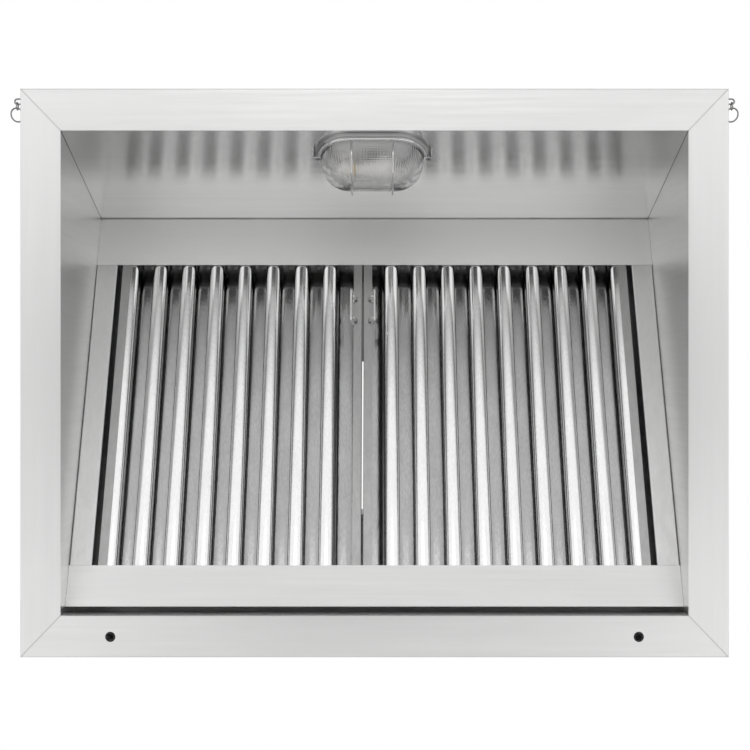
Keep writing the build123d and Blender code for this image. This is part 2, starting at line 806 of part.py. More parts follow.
# Guard: a ring that clamps the globe's flange, with a bow over the dome at each end of its straight sides
guard_foot = globe_foot + globe_flange_depth
bow_spread = guard_x - guard_y
bow_reach = guard_y - guard_lip / 2
bow_top = globe_top + bow_clearance + bow_wire
bow_half = [
    (bow_reach, guard_foot + guard_depth / 2),
    (bow_reach - bow_draw, bow_knee),
    (bow_reach - bow_top_draw, bow_top),
]
bow_outline = [(-y, height) for y, height in bow_half] + bow_half[::-1]
with BuildPart() as lamp_guard:
    with BuildSketch(lamp_plane(lamp_base_depth + seam)):
        racetrack(guard_x, guard_y)
        racetrack(guard_x - guard_band, guard_y - guard_band, mode=Mode.SUBTRACT)
    extrude(amount=guard_foot + guard_depth - lamp_base_depth - seam)
    with BuildSketch(lamp_plane(guard_foot)):
        racetrack(guard_x, guard_y)
        racetrack(guard_x - guard_lip, guard_y - guard_lip, mode=Mode.SUBTRACT)
    extrude(amount=guard_depth)
    for bow in (-1, 1):
        bow_foot = lamp_foot + across * bow * bow_spread
        bow_plane = Plane(bow_foot, x_dir=-off_slope, z_dir=across)
        with BuildLine(bow_plane):
            bow_path = FilletPolyline(*bow_outline, radius=bow_bend)
        with BuildSketch(Plane(bow_path @ 0, z_dir=bow_path % 0)):
            Circle(bow_wire)
        sweep(path=bow_path)
lamp_guard.part.label = "lamp_guard"
export_step(lamp_guard.part, "parts/lamp_guard.step")

# End clips that hook the guard to the base, and their screws
clip_start = lamp_base_x + seam
clip_top = guard_foot + guard_depth + seam
with BuildPart() as lamp_clips:
    with BuildSketch(Plane(lamp_foot, x_dir=across, z_dir=(0, -slope_sin, -slope_cos))):
        for end in (-1, 1):
            Polygon(
                (end * clip_start, -seam),
                (end * (clip_start + clip_thickness), -seam),
                (end * (clip_start + clip_thickness), -clip_top - clip_hook),
                (end * (guard_x - guard_lip), -clip_top - clip_hook),
                (end * (guard_x - guard_lip), -clip_top),
                (end * clip_start, -clip_top),
            )
    extrude(amount=clip_width / 2, both=True)
    for end in (-1, 1):
        with BuildSketch(clip_screw_plane(end)):
            Circle(clip_screw_radius + screw_clearance)
        extrude(amount=2 * clip_screw_grip, mode=Mode.SUBTRACT)
lamp_clips.part.label = "lamp_clips"
export_step(lamp_clips.part, "parts/lamp_clips.step")

screw_reach = clip_screw_grip + seam + clip_thickness
with BuildPart() as clip_screws:
    for end in (-1, 1):
        with BuildSketch(clip_screw_plane(end)):
            Circle(clip_screw_radius)
        extrude(amount=screw_reach)
        with BuildSketch(clip_screw_plane(end).offset(screw_reach)):
            Circle(clip_screw_head)
        extrude(amount=clip_screw_head / 2)
clip_screws.part.label = "lamp_clip_screws"
export_step(clip_screws.part, "parts/lamp_clip_screws.step")

# Bulb holder on a foot, with its socket
bulb_centre = lamp_foot + off_panel * bulb_axis_height
bulb_plane = Plane(bulb_centre, x_dir=across, z_dir=-off_slope)
bulb_axis = Axis(bulb_centre, across)
holder_middle = (holder_start + holder_end) / 2
with BuildPart() as lamp_holder:
    with BuildSketch(bulb_plane):
        with Locations((holder_middle, holder_radius / 2)):
            Rectangle(holder_end - holder_start, holder_radius)
    revolve(axis=bulb_axis)
    with BuildSketch(lamp_plane(lamp_plate)):
        with Locations((holder_middle, 0)):
            Rectangle(holder_end - holder_start, holder_foot_width)
    extrude(amount=bulb_axis_height - lamp_plate - bulb_cap_radius)
    with BuildSketch(Plane(bulb_centre + across * holder_end, z_dir=-across)):
        Circle(bulb_cap_radius + screw_clearance)
    extrude(amount=socket_depth, mode=Mode.SUBTRACT)
lamp_holder.part.label = "lamp_holder"
export_step(lamp_holder.part, "parts/lamp_holder.step")

cap_start = holder_end - socket_depth + seam
cap_end = holder_end + bulb_cap_shows
with BuildPart() as bulb_cap:
    with BuildSketch(Plane(bulb_centre + across * cap_start, z_dir=across)):
        Circle(bulb_cap_radius)
    extrude(amount=cap_end - cap_start)
bulb_cap.part.label = "bulb_cap"
export_step(bulb_cap.part, "parts/bulb_cap.step")


# The bulb's outline above its axis, drawn in by the given wall
def bulb_outline(wall):
    middle = bulb_end - bulb_radius
    radius = bulb_radius - wall
    with BuildLine() as outline:
        Line((cap_end, 0), (cap_end, bulb_neck - wall))
        Spline((cap_end, bulb_neck - wall), (middle, radius), tangents=((1, 0), (1, 0)))
        CenterArc((middle, 0), radius, 0, 90)
        Line((middle + radius, 0), (cap_end, 0))
    return outline.line


with BuildPart() as bulb:
    with BuildSketch(bulb_plane):
        make_face(bulb_outline(0))
        make_face(bulb_outline(bulb_wall), mode=Mode.SUBTRACT)
    revolve(axis=bulb_axis)
bulb.part.label = "bulb"
export_step(bulb.part, "parts/bulb.step")

# Wiring box behind the front panel, open to the front until its cover is on
box_back = -sheet - seam
boss_x = box_width / 2 - box_boss
boss_y = box_height / 2 - box_boss
cover_screw_places = [(x * boss_x, box_drop + y * boss_y) for x in (-1, 1) for y in (-1, 1)]
box_side = lamp_foot + off_panel * (box_back - box_depth / 2) - off_slope * box_drop + across * box_width / 2
with BuildPart() as wiring_box:
    with BuildSketch(lamp_plane(box_back)):
        with Locations((0, box_drop)):
            Rectangle(box_width, box_height)
        Circle(nipple_radius + nipple_clearance, mode=Mode.SUBTRACT)
    extrude(amount=-box_wall)
    with BuildSketch(lamp_plane(box_back - box_wall)):
        with Locations((0, box_drop)):
            Rectangle(box_width, box_height)
            Rectangle(box_width - 2 * box_wall, box_height - 2 * box_wall, mode=Mode.SUBTRACT)
        with Locations(*cover_screw_places):
            Rectangle(2 * box_boss, 2 * box_boss)
            Circle(cover_screw_radius + screw_clearance, mode=Mode.SUBTRACT)
    extrude(amount=-box_depth + box_wall)
    with BuildSketch(Plane(box_side, z_dir=across)):
        Circle(box_entry_radius)
    extrude(amount=-2 * box_wall, mode=Mode.SUBTRACT)
wiring_box.part.label = "wiring_box"
export_step(wiring_box.part, "parts/wiring_box.step")

cover_back = box_back - box_depth - seam
with BuildPart() as box_cover:
    with BuildSketch(lamp_plane(cover_back)):
        with Locations((0, box_drop)):
            Rectangle(box_width, box_height)
        with Locations(*cover_screw_places):
            Circle(cover_screw_radius + screw_clearance, mode=Mode.SUBTRACT)
    extrude(amount=-cover_thickness)
box_cover.part.label = "wiring_box_cover"
export_step(box_cover.part, "parts/wiring_box_cover.step")

with BuildPart() as cover_screws:
    with BuildSketch(lamp_plane(cover_back - cover_thickness)):
        with Locations(*cover_screw_places):
            Circle(cover_screw_radius)
    extrude(amount=cover_screw_length)
    with BuildSketch(lamp_plane(cover_back - cover_thickness)):
        with Locations(*cover_screw_places):
            Circle(cover_screw_head)
    extrude(amount=-cover_screw_head / 2)
cover_screws.part.label = "cover_screws"
export_step(cover_screws.part, "parts/cover_screws.step")

# Nipple that carries the lamp's wires through the panel, with a locknut at each end
lamp_nut_end = lamp_plate + locknut_depth
box_nut_end = box_back - box_wall - locknut_depth
with BuildPart() as nipple:
    with BuildSketch(lamp_plane(lamp_nut_end + thread_shows)):
        Circle(nipple_radius)
    extrude(amount=box_nut_end - lamp_nut_end - 2 * thread_shows)
    for nut_start, depth in ((lamp_plate, locknut_depth), (box_back - box_wall, -locknut_depth)):
        with BuildSketch(lamp_plane(nut_start)):
            hexagon(locknut_flats)
        extrude(amount=depth)
    with BuildSketch(lamp_plane(lamp_nut_end + thread_shows)):
        Circle(nipple_bore)
    extrude(amount=box_nut_end - lamp_nut_end - 2 * thread_shows, mode=Mode.SUBTRACT)
nipple.part.label = "conduit_nipple"
export_step(nipple.part, "parts/conduit_nipple.step")

# Cable gland through the front rim's top return
gland_place = (gland_x, -half_depth + gland_from_front)
gland_low = return_low - locknut_depth - thread_shows
gland_nut_top = skirt_height + gland_nut_depth
with BuildPart() as gland:
    with BuildSketch(Plane.XY.offset(gland_low)):
        with Locations(gland_place):
            Circle(gland_radius)
    extrude(amount=gland_nut_top - gland_low)
    for nut_start, depth in ((return_low, -locknut_depth), (skirt_height, gland_nut_depth)):
        with BuildSketch(Plane.XY.offset(nut_start)):
            with Locations(gland_place):
                hexagon(locknut_flats)
        extrude(amount=depth)
    for height, radius in ((gland_nut_top, gland_radius), (gland_nut_top + gland_cap_height, gland_cap_top)):
        with BuildSketch(Plane.XY.offset(height)):
            with Locations(gland_place):
                Circle(radius)
    loft()
    with BuildSketch(Plane.XY.offset(gland_low)):
        with Locations(gland_place):
            Circle(gland_bore)
    extrude(amount=gland_nut_top + gland_cap_height - gland_low, mode=Mode.SUBTRACT)
gland.part.label = "cable_gland"
export_step(gland.part, "parts/cable_gland.step")

# Hangers: a staple on a riveted plate holds a link, and the link holds a ring
hanger_y = -half_depth + hanger_from_front
eye_face = half_width + seam
eye_outside = eye_face + hanger_plate_thickness
link_hinge_y = hanger_y + staple_bend
near_y = link_hinge_y + link_bend - link_wire - staple_wire - loop_clearance
far_y = near_y + link_straight
ring_y = far_y + link_bend - link_wire - loop_clearance - ring_wire + ring_radius
rivet_places = [(hanger_y, hanger_height + end * hanger_rivet_spread) for end in (-1, 1)]
for side, hand in ((-1, "left"), (1, "right")):
    hanger_x = side * (half_width + hanger_reach)
    with BuildPart() as eye:
        with BuildSketch(Plane.YZ.offset(side * eye_face)):
            with Locations((hanger_y, hanger_height)):
                Rectangle(hanger_plate_width, hanger_plate_height)
            with Locations(*rivet_places):
                Circle(rivet_radius + rivet_clearance, mode=Mode.SUBTRACT)
        extrude(amount=side * hanger_plate_thickness)
        staple_root = side * (eye_face + hanger_plate_thickness / 2)
        with BuildLine(Plane.XY.offset(hanger_height)) as staple:
            Line((staple_root, hanger_y - staple_bend), (hanger_x, hanger_y - staple_bend))
            ThreePointArc(
                (hanger_x, hanger_y - staple_bend),
                (hanger_x + side * staple_bend, hanger_y),
                (hanger_x, hanger_y + staple_bend),
            )
            Line((hanger_x, hanger_y + staple_bend), (staple_root, hanger_y + staple_bend))
        with BuildSketch(Plane(staple.line @ 0, z_dir=staple.line % 0)):
            Circle(staple_wire)
        sweep(path=staple.line)
    eye.part.label = f"{hand}_hanger_eye"
    export_step(eye.part, f"parts/{hand}_hanger_eye.step")

    link_low = hanger_height - link_bend
    link_high = hanger_height + link_bend
    with BuildPart() as link:
        with BuildLine(Plane.YZ.offset(hanger_x)) as link_loop:
            Line((near_y, link_high), (far_y, link_high))
            ThreePointArc((far_y, link_high), (far_y + link_bend, hanger_height), (far_y, link_low))
            Line((far_y, link_low), (near_y, link_low))
            ThreePointArc((near_y, link_low), (near_y - link_bend, hanger_height), (near_y, link_high))
        with BuildSketch(Plane((hanger_x, near_y, link_high), z_dir=(0, 1, 0))):
            Circle(link_wire)
        sweep(path=link_loop.line)
    link.part.label = f"{hand}_hanger_link"
    export_step(link.part, f"parts/{hand}_hanger_link.step")

    with BuildPart() as ring:
        with Locations((hanger_x, ring_y, hanger_height)):
            Torus(ring_radius, ring_wire, rotation=(0, side * ring_tilt, 0))
    ring.part.label = f"{hand}_hanger_ring"
    export_step(ring.part, f"parts/{hand}_hanger_ring.step")

# Rivets that hold the hanger plates to the side rims
rivet_inside = half_width - sheet
with BuildPart() as hanger_rivets:
    for side in (-1, 1):
        for start, end, radius in (
            (rivet_inside - rivet_head_height, rivet_inside, rivet_head),
            (rivet_inside, eye_outside, rivet_radius),
            (eye_outside, eye_outside + rivet_head_height, rivet_head),
        ):
            with BuildSketch(Plane.YZ.offset(side * start)):
                with Locations(*rivet_places):
                    Circle(radius)
            extrude(amount=side * (end - start))
hanger_rivets.part.label = "hanger_rivets"
export_step(hanger_rivets.part, "parts/hanger_rivets.step")

# Screws and nuts that join the side rims to the gutter's corner tabs
rim_screw_place = (half_depth - corner_tab_width / 2, hanger_height)
tab_inside = half_width - 2 * sheet - seam
with BuildPart() as rim_screws:
    for side in (-1, 1):
        with BuildSketch(Plane.YZ.offset(side * half_width)):
            with Locations(rim_screw_place):
                Circle(screw_head)
        extrude(amount=side * screw_head_height)
        with BuildSketch(Plane.YZ.offset(side * half_width)):
            with Locations(rim_screw_place):
                Circle(screw_radius)
        extrude(amount=-side * screw_length)
        with BuildSketch(Plane.YZ.offset(side * tab_inside)):
            with Locations(rim_screw_place):
                hexagon(nut_flats)
        extrude(amount=-side * nut_depth)
rim_screws.part.label = "rim_screws"
export_step(rim_screws.part, "parts/rim_screws.step")
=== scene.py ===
import bpy
import bmesh
import json
from math import cos, pi, radians, sin
from mathutils import Matrix, Vector


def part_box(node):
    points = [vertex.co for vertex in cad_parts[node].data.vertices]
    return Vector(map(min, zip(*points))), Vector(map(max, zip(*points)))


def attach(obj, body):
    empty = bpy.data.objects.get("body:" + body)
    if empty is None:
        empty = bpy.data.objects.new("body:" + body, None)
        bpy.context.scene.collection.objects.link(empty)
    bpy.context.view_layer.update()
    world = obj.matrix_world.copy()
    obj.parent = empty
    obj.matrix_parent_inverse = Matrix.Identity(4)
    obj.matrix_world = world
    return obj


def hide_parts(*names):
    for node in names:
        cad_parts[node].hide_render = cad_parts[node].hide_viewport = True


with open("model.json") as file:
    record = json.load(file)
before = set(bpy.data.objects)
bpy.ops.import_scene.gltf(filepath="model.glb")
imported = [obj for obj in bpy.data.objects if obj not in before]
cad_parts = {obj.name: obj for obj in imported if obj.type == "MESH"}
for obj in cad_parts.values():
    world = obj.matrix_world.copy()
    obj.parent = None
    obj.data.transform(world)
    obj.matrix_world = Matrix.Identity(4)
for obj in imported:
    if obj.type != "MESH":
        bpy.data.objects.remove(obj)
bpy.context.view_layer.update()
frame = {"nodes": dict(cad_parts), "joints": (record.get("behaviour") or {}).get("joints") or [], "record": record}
nodes = frame["nodes"]
mm = 0.001
bodyOf = {node: body for body, group in frame["record"]["behaviour"]["bodies"].items() for node in group}
joints = {joint["name"]: joint for joint in frame["joints"]}
across = Vector((1, 0, 0))
print("stage: frame loaded,", len(nodes), "nodes")

# the filters slide up the rack, so their joint gives its slope; the front panel is square to it
upRack = Vector(joints["left_filter_lift"]["axis"]).normalized()
outRack = across.cross(upRack)
downPanel = outRack.copy()
outPanel = -upRack


def placeOn(origin, xAxis, yAxis, zAxis):
    turn = Matrix((xAxis, yAxis, zAxis)).transposed().to_4x4()
    return Matrix.Translation(origin) @ turn


cameraSet = {"x": 0.6 * mm, "y": 2.6 * mm, "below": 1500 * mm, "lens": 55.8, "sensor": 36.0}
camera = bpy.data.objects.new("camera", bpy.data.cameras.new("camera"))
camera.data.lens = cameraSet["lens"]
camera.data.sensor_width = cameraSet["sensor"]
camera.location = (cameraSet["x"], cameraSet["y"], -cameraSet["below"])
camera.rotation_euler = (pi, 0, 0)   # straight up at the underside
camera.data.clip_end = 60
bpy.context.scene.collection.objects.link(camera)
bpy.context.scene.camera = camera

# glow that mirrors see in the floor, a painted pool of light: by distance from the middle, ahead of it and behind
# it, with a painted shadow of the hood in its middle and painted shade where it fades further out
stageSet = {"drop": 2.05, "half": 9.0, "grey": 0.80, "seen": 0.85, "sky": 0.50, "skyMirrored": 0.58,
            "squash": 0.62, "around": ((0.52, 0.04), (0.66, 1.0), (2.60, 1.0), (3.40, 0.50)),
            "ahead": ((1.30, 1.0), (1.80, 0.97), (2.18, 0.60), (2.48, 0.30), (4.00, 0.30)),
            "behind": ((1.20, 1.0), (1.85, 0.50))}


def joined(tree, kind, one, two):   # each of the two is a number or a socket
    join = tree.nodes.new("ShaderNodeMath")
    join.operation = kind
    for value, socket in ((one, join.inputs[0]), (two, join.inputs[1])):
        if isinstance(value, (int, float)):
            socket.default_value = value
        else:
            tree.links.new(value, socket)
    return join.outputs[0]


def larger(tree, one, two):
    return joined(tree, "MAXIMUM", one, two)


def times(tree, one, two):
    return joined(tree, "MULTIPLY", one, two)


def apart(tree, one, two):
    return joined(tree, "ABSOLUTE", joined(tree, "SUBTRACT", one, two), 0.0)


def blended(tree, parts, shares):   # the parts added up, each by its share
    total = times(tree, parts[0], shares[0])
    for part, share in zip(parts[1:], shares[1:]):
        total = joined(tree, "ADD", total, times(tree, part, share))
    return total


def millimetresOf(tree):
    place = tree.nodes.new("ShaderNodeTexCoord")
    mapping = tree.nodes.new("ShaderNodeMapping")
    mapping.inputs["Scale"].default_value = (1 / mm, 1 / mm, 1 / mm)
    tree.links.new(place.outputs["Object"], mapping.inputs["Vector"])
    return mapping.outputs[0]


def rampOf(tree, value, stops):   # stops are (metres, level)
    ramp = tree.nodes.new("ShaderNodeValToRGB")
    ramp.color_ramp.interpolation = "EASE"
    while len(ramp.color_ramp.elements) < len(stops):
        ramp.color_ramp.elements.new(0.5)
    for stop, (distance, level) in zip(ramp.color_ramp.elements, stops):
        stop.position = distance / stageSet["half"]
        stop.color = (level, level, level, 1)
    tree.links.new(value, ramp.inputs["Fac"])
    return ramp.outputs["Color"]


def makeSky():
    world = bpy.data.worlds.new("studioSky")
    bpy.context.scene.world = world
    world.use_nodes = True
    tree = world.node_tree
    tree.nodes.clear()
    out = tree.nodes.new("ShaderNodeOutputWorld")
    lighting = tree.nodes.new("ShaderNodeBackground")
    lighting.inputs["Strength"].default_value = stageSet["sky"]
    seen = tree.nodes.new("ShaderNodeBackground")
    mix = tree.nodes.new("ShaderNodeMixShader")
    for background in (lighting, seen):
        background.inputs["Color"].default_value = (1, 1, 1, 1)
    path = tree.nodes.new("ShaderNodeLightPath")   # camera and glass rays see it white, mirrors pale
    direct = larger(tree, path.outputs["Is Camera Ray"], path.outputs["Is Transmission Ray"])
    mirrored = path.outputs["Is Glossy Ray"]
    tree.links.new(larger(tree, direct, mirrored), mix.inputs[0])
    strength = larger(tree, direct, times(tree, mirrored, stageSet["skyMirrored"]))
    tree.links.new(strength, seen.inputs["Strength"])
    tree.links.new(lighting.outputs[0], mix.inputs[1])
    tree.links.new(seen.outputs[0], mix.inputs[2])
    tree.links.new(mix.outputs[0], out.inputs["Surface"])


def makeFloor():
    bm = bmesh.new()
    bmesh.ops.create_grid(bm, x_segments=2, y_segments=2, size=stageSet["half"])
    bmesh.ops.translate(bm, verts=bm.verts, vec=(0, 0, -stageSet["drop"]))
    mesh = bpy.data.meshes.new("floor")
    bm.to_mesh(mesh)
    bm.free()
    floor = bpy.data.objects.new("floor", mesh)
    bpy.context.scene.collection.objects.link(floor)
    look = bpy.data.materials.new("floorPaint")
    look.use_nodes = True
    tree = look.node_tree
    tree.nodes.clear()
    out = tree.nodes.new("ShaderNodeOutputMaterial")
    paint = tree.nodes.new("ShaderNodeBsdfDiffuse")
    paint.inputs["Color"].default_value = (stageSet["grey"], stageSet["grey"], stageSet["grey"], 1)
    glow = tree.nodes.new("ShaderNodeEmission")
    glow.inputs["Color"].default_value = (1, 1, 1, 1)
    place = tree.nodes.new("ShaderNodeTexCoord")
    reach = tree.nodes.new("ShaderNodeVectorMath")
    reach.operation = "LENGTH"
    flat = tree.nodes.new("ShaderNodeVectorMath")
    flat.operation = "MULTIPLY"
    flat.inputs[1].default_value = (stageSet["squash"], 1, 0)
    split = tree.nodes.new("ShaderNodeSeparateXYZ")
    tree.links.new(place.outputs["Object"], flat.inputs[0])
    tree.links.new(flat.outputs["Vector"], reach.inputs[0])
    tree.links.new(place.outputs["Object"], split.inputs[0])
    # painted shadow of the hood in the middle of the mirrored glow, and painted shade where the glow fades ahead,
    # behind and further out
    around = rampOf(tree, times(tree, reach.outputs["Value"], 1 / stageSet["half"]), stageSet["around"])
    ahead = rampOf(tree, times(tree, split.outputs["Y"], -1 / stageSet["half"]), stageSet["ahead"])
    behind = rampOf(tree, times(tree, split.outputs["Y"], 1 / stageSet["half"]), stageSet["behind"])
    level = times(tree, around, times(tree, ahead, behind))
    path = tree.nodes.new("ShaderNodeLightPath")
    direct = larger(tree, path.outputs["Is Camera Ray"], path.outputs["Is Transmission Ray"])
    mirrored = path.outputs["Is Glossy Ray"]
    mix = tree.nodes.new("ShaderNodeMixShader")
    tree.links.new(larger(tree, times(tree, direct, stageSet["seen"]), mirrored), mix.inputs[0])
    tree.links.new(larger(tree, direct, times(tree, mirrored, level)), glow.inputs["Strength"])
    tree.links.new(paint.outputs[0], mix.inputs[1])
    tree.links.new(glow.outputs[0], mix.inputs[2])
    tree.links.new(mix.outputs[0], out.inputs["Surface"])
    mesh.materials.append(look)


lampSet = {   # name: place, aimed at, width and depth, watts
    "softBelow": ((0, -0.84, -1.95), (0, -0.84, 0), (1.1, 0.42), 0.95),
    "softAbove": ((1.6, -2.0, 2.6), (0, 0, 0.2), (2.2, 2.2), 11),
    "softBack": ((-1.8, 2.4, 2.0), (0, 0, 0.2), (2.0, 2.0), 7),
}


def makeStudioLamps():
    for name, (place, aim, size, watts) in lampSet.items():
        data = bpy.data.lights.new(name, "AREA")
        data.shape = "RECTANGLE"
        data.size, data.size_y = size
        data.energy = watts
        studioLamp = bpy.data.objects.new(name, data)
        studioLamp.location = place
        studioLamp.rotation_euler = (Vector(aim) - Vector(place)).to_track_quat("-Z", "Y").to_euler()
        bpy.context.scene.collection.objects.link(studioLamp)


makeSky()
makeFloor()
makeStudioLamps()
bpy.context.scene.view_settings.view_transform = "Standard"
print("stage: camera, floor and lamps")

# how each grain lies: turns that carry X onto it
alongX = (0.0, 0.0, 0.0)
alongY = (0.0, 0.0, radians(90))
alongZ = (0.0, radians(90), 0.0)
upTheRack = (-Vector((0, -1, 0)).angle(upRack), 0.0, radians(90))


def startLook(name):
    look = bpy.data.materials.new(name)
    look.use_nodes = True
    return look, look.node_tree, look.node_tree.nodes["Principled BSDF"]


def mapped(tree, turn, scale):
    place = tree.nodes.new("ShaderNodeTexCoord")
    mapping = tree.nodes.new("ShaderNodeMapping")
    mapping.vector_type = "TEXTURE" if turn != alongX else "POINT"
    mapping.inputs["Rotation"].default_value = turn
    second = tree.nodes.new("ShaderNodeMapping")
    second.inputs["Scale"].default_value = scale
    tree.links.new(place.outputs["Object"], mapping.inputs["Vector"])
    tree.links.new(mapping.outputs[0], second.inputs["Vector"])
    return second.outputs[0]


def noiseOf(tree, vector, scale=1.0, detail=3.0, rough=0.55):
    noise = tree.nodes.new("ShaderNodeTexNoise")
    noise.inputs["Scale"].default_value = scale
    noise.inputs["Detail"].default_value = detail
    noise.inputs["Roughness"].default_value = rough
    tree.links.new(vector, noise.inputs["Vector"])
    return noise.outputs["Fac"]


def ranged(tree, value, low, high, fromLow=0.3, fromHigh=0.7):
    scaled = tree.nodes.new("ShaderNodeMapRange")
    scaled.inputs["From Min"].default_value = fromLow
    scaled.inputs["From Max"].default_value = fromHigh
    scaled.inputs["To Min"].default_value = low
    scaled.inputs["To Max"].default_value = high
    tree.links.new(value, scaled.inputs["Value"])
    return scaled.outputs["Result"]


def greyOf(tree, value, tint=(1.0, 1.0, 1.0)):
    mix = tree.nodes.new("ShaderNodeCombineColor")
    for channel, share in zip(("Red", "Green", "Blue"), tint):
        tree.links.new(times(tree, value, share), mix.inputs[channel])
    return mix.outputs[0]


def bumped(tree, height, strength, depth):
    bump = tree.nodes.new("ShaderNodeBump")
    bump.inputs["Strength"].default_value = strength
    bump.inputs["Distance"].default_value = depth
    tree.links.new(height, bump.inputs["Height"])
    return bump.outputs["Normal"]


# each part's tone was matched to how bright that part looks where it stands, so besides the steel's own tone these
# tones hold painted light and shade
steelSet = {   # tone, its spread, roughness low and high, fine bump, slow bump, grain scale along
    "rim": (0.97, 0.02, 0.32, 0.44, 0.10, 0.03, 14),
    "panel": (0.88, 0.05, 0.15, 0.21, 0.30, 0.00, 2),
    "channel": (0.99, 0.01, 0.54, 0.62, 0.10, 0.03, 14),
    "drip": (0.98, 0.03, 0.40, 0.50, 0.10, 0.03, 14),
    "wall": (0.92, 0.05, 0.30, 0.42, 0.14, 0.06, 14),
    "ledge": (0.79, 0.05, 0.28, 0.42, 0.12, 0.06, 14),
    "rail": (0.46, 0.05, 0.26, 0.38, 0.12, 0.08, 14),
}
mitreSet = {"outer": (457.2, 367.0), "inner": (405.2, 313.0), "half": 0.7, "soft": 0.5, "deep": 0.74}


def mitreShade(tree):   # 1 on the rim, low on the four fine lines where its members meet
    split = tree.nodes.new("ShaderNodeSeparateXYZ")
    tree.links.new(millimetresOf(tree), split.inputs[0])
    runX = mitreSet["outer"][0] - mitreSet["inner"][0]
    runY = mitreSet["outer"][1] - mitreSet["inner"][1]
    length = (runX ** 2 + runY ** 2) ** 0.5
    offset = (mitreSet["inner"][0] * runY - mitreSet["inner"][1] * runX) / length
    sideX = times(tree, joined(tree, "ABSOLUTE", split.outputs["X"], 0.0), runY / length)
    sideY = times(tree, joined(tree, "ABSOLUTE", split.outputs["Y"], 0.0), runX / length)
    away = apart(tree, joined(tree, "SUBTRACT", sideX, sideY), offset)
    half, soft = mitreSet["half"], mitreSet["soft"]
    return ranged(tree, away, mitreSet["deep"], 1.0, half - soft, half + soft)


cornerSet = {"behindBase": 2.1, "deep": 0.25, "lineHalf": 0.7, "fadedBy": 1.5}


def cornerShade(tree):   # low on the side panels' fine line where the front panel butts on them
    off = tree.nodes.new("ShaderNodeVectorMath")
    off.operation = "DOT_PRODUCT"
    off.inputs[1].default_value = outPanel
    tree.links.new(millimetresOf(tree), off.inputs[0])
    level = (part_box("lamp_base")[0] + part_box("lamp_base")[1]).dot(outPanel) / 2 / mm
    level -= cornerSet["behindBase"]
    away = apart(tree, off.outputs["Value"], level)
    return ranged(tree, away, cornerSet["deep"], 1.0, cornerSet["lineHalf"], cornerSet["fadedBy"])


grainSet = {
    "fineAcross": 950, "streak": (3.5, 190, 190), "cloud": (2.2, 9, 9), "shares": (0.45, 0.35, 0.20),
    "bump": 0.5, "deep": 0.6 * mm, "tint": (1.0, 1.0, 0.995),
}


def marked(tree, shader, marks, tones, roughs, tint=(1.0, 1.0, 1.0)):   # both follow the marks
    tree.links.new(greyOf(tree, ranged(tree, marks, *tones), tint), shader.inputs["Base Color"])
    tree.links.new(ranged(tree, marks, *roughs), shader.inputs["Roughness"])


def grainedSteel(name, kind, turn):
    tone, spread, roughLow, roughHigh, fineBump, slowBump, along = steelSet[kind]
    look, tree, shader = startLook(name)
    fineScale = (along, grainSet["fineAcross"], grainSet["fineAcross"])
    fine = noiseOf(tree, mapped(tree, turn, fineScale), detail=4, rough=0.6)
    streak = noiseOf(tree, mapped(tree, turn, grainSet["streak"]), detail=3)
    cloud = noiseOf(tree, mapped(tree, turn, grainSet["cloud"]), detail=2)
    marks = blended(tree, (fine, streak, cloud), grainSet["shares"])
    level = ranged(tree, marks, tone - spread, tone + spread)
    if kind == "rim":
        level = times(tree, level, mitreShade(tree))
    if kind == "wall":
        level = times(tree, level, cornerShade(tree))
    tree.links.new(greyOf(tree, level, grainSet["tint"]), shader.inputs["Base Color"])
    tree.links.new(ranged(tree, marks, roughHigh, roughLow), shader.inputs["Roughness"])
    shader.inputs["Metallic"].default_value = 1.0
    height = blended(tree, (fine, streak), (fineBump, slowBump))
    tree.links.new(bumped(tree, height, grainSet["bump"], grainSet["deep"]), shader.inputs["Normal"])
    return look


rolledSet = {"streak": (1.2, 420, 420), "slow": (2.5, 60, 60), "shares": (0.6, 0.4), "bump": 0.25,
             "deep": 0.5 * mm}


def rolledSteel(name, tone, rough):   # bright strip, streaked along the rack by its rollers
    look, tree, shader = startLook(name)
    streak = noiseOf(tree, mapped(tree, upTheRack, rolledSet["streak"]), detail=4, rough=0.6)
    slow = noiseOf(tree, mapped(tree, upTheRack, rolledSet["slow"]), detail=2)
    marks = blended(tree, (streak, slow), rolledSet["shares"])
    marked(tree, shader, marks, (tone - 0.06, tone + 0.04), (rough + 0.05, rough - 0.03))
    shader.inputs["Metallic"].default_value = 1.0
    tree.links.new(bumped(tree, marks, rolledSet["bump"], rolledSet["deep"]), shader.inputs["Normal"])
    return look


wireSet = {"marks": (700, 700, 700)}


def wireLook(name, tone, rough):
    look, tree, shader = startLook(name)
    marks = noiseOf(tree, mapped(tree, alongX, wireSet["marks"]), detail=3)
    marked(tree, shader, marks, (tone - 0.05, tone + 0.03), (rough + 0.05, rough - 0.03))
    shader.inputs["Metallic"].default_value = 1.0
    return look


castSet = {"grain": (900, 900, 900), "cloud": (60, 60, 60), "shares": (0.6, 0.4), "darkest": 0.88,
           "palest": 1.10, "bump": 0.35, "deep": 0.4 * mm}


def castLook(name, tone, rough, metal, tint=(1.0, 1.0, 1.0)):   # castings, rubber, moulded plastic
    look, tree, shader = startLook(name)
    grain = noiseOf(tree, mapped(tree, alongX, castSet["grain"]), detail=4)
    cloud = noiseOf(tree, mapped(tree, alongX, castSet["cloud"]), detail=2)
    marks = blended(tree, (grain, cloud), castSet["shares"])
    tones = (tone * castSet["darkest"], tone * castSet["palest"])
    marked(tree, shader, marks, tones, (rough + 0.06, rough - 0.05), tint)
    shader.inputs["Metallic"].default_value = metal
    tree.links.new(bumped(tree, grain, castSet["bump"], castSet["deep"]), shader.inputs["Normal"])
    return look


glassSet = {"haze": (120, 120, 120), "index": 1.47}


